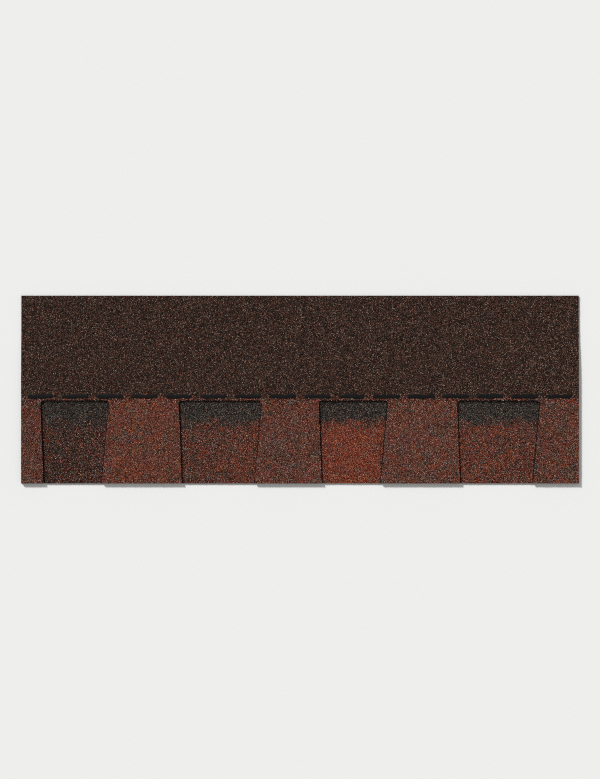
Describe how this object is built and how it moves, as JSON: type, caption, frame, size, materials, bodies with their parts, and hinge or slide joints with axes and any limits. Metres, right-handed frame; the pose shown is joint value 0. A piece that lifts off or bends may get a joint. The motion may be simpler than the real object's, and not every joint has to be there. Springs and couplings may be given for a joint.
{
  "type": "laminated asphalt shingle",
  "caption": "Laminated asphalt roof shingle lying face up: a granule-faced sheet with uneven tabs, bonded on a plain backing strip, with dashes of self-sealing adhesive.",
  "frame": {"origin": "middle of the shingle's footprint, at the level of the floor that it lies on", "axes": "+X along the course, to the right as seen from the face; +Y up the roof slope, from the butt edge to the top edge; +Z out of the granule face"},
  "size_m": [1, 0.337, 0.0064],
  "materials": {
    "granule_face": "matte",
    "granule_shim": "matte",
    "asphalt_bond": "matte",
    "asphalt_sealant": "satin"
  },
  "bodies": {
    "root": {"top_layer": "granule_face", "shim_layer": "granule_shim", "laminating_bond": "asphalt_bond", "seal_strip": "asphalt_sealant"}
  },
  "joints": []
}
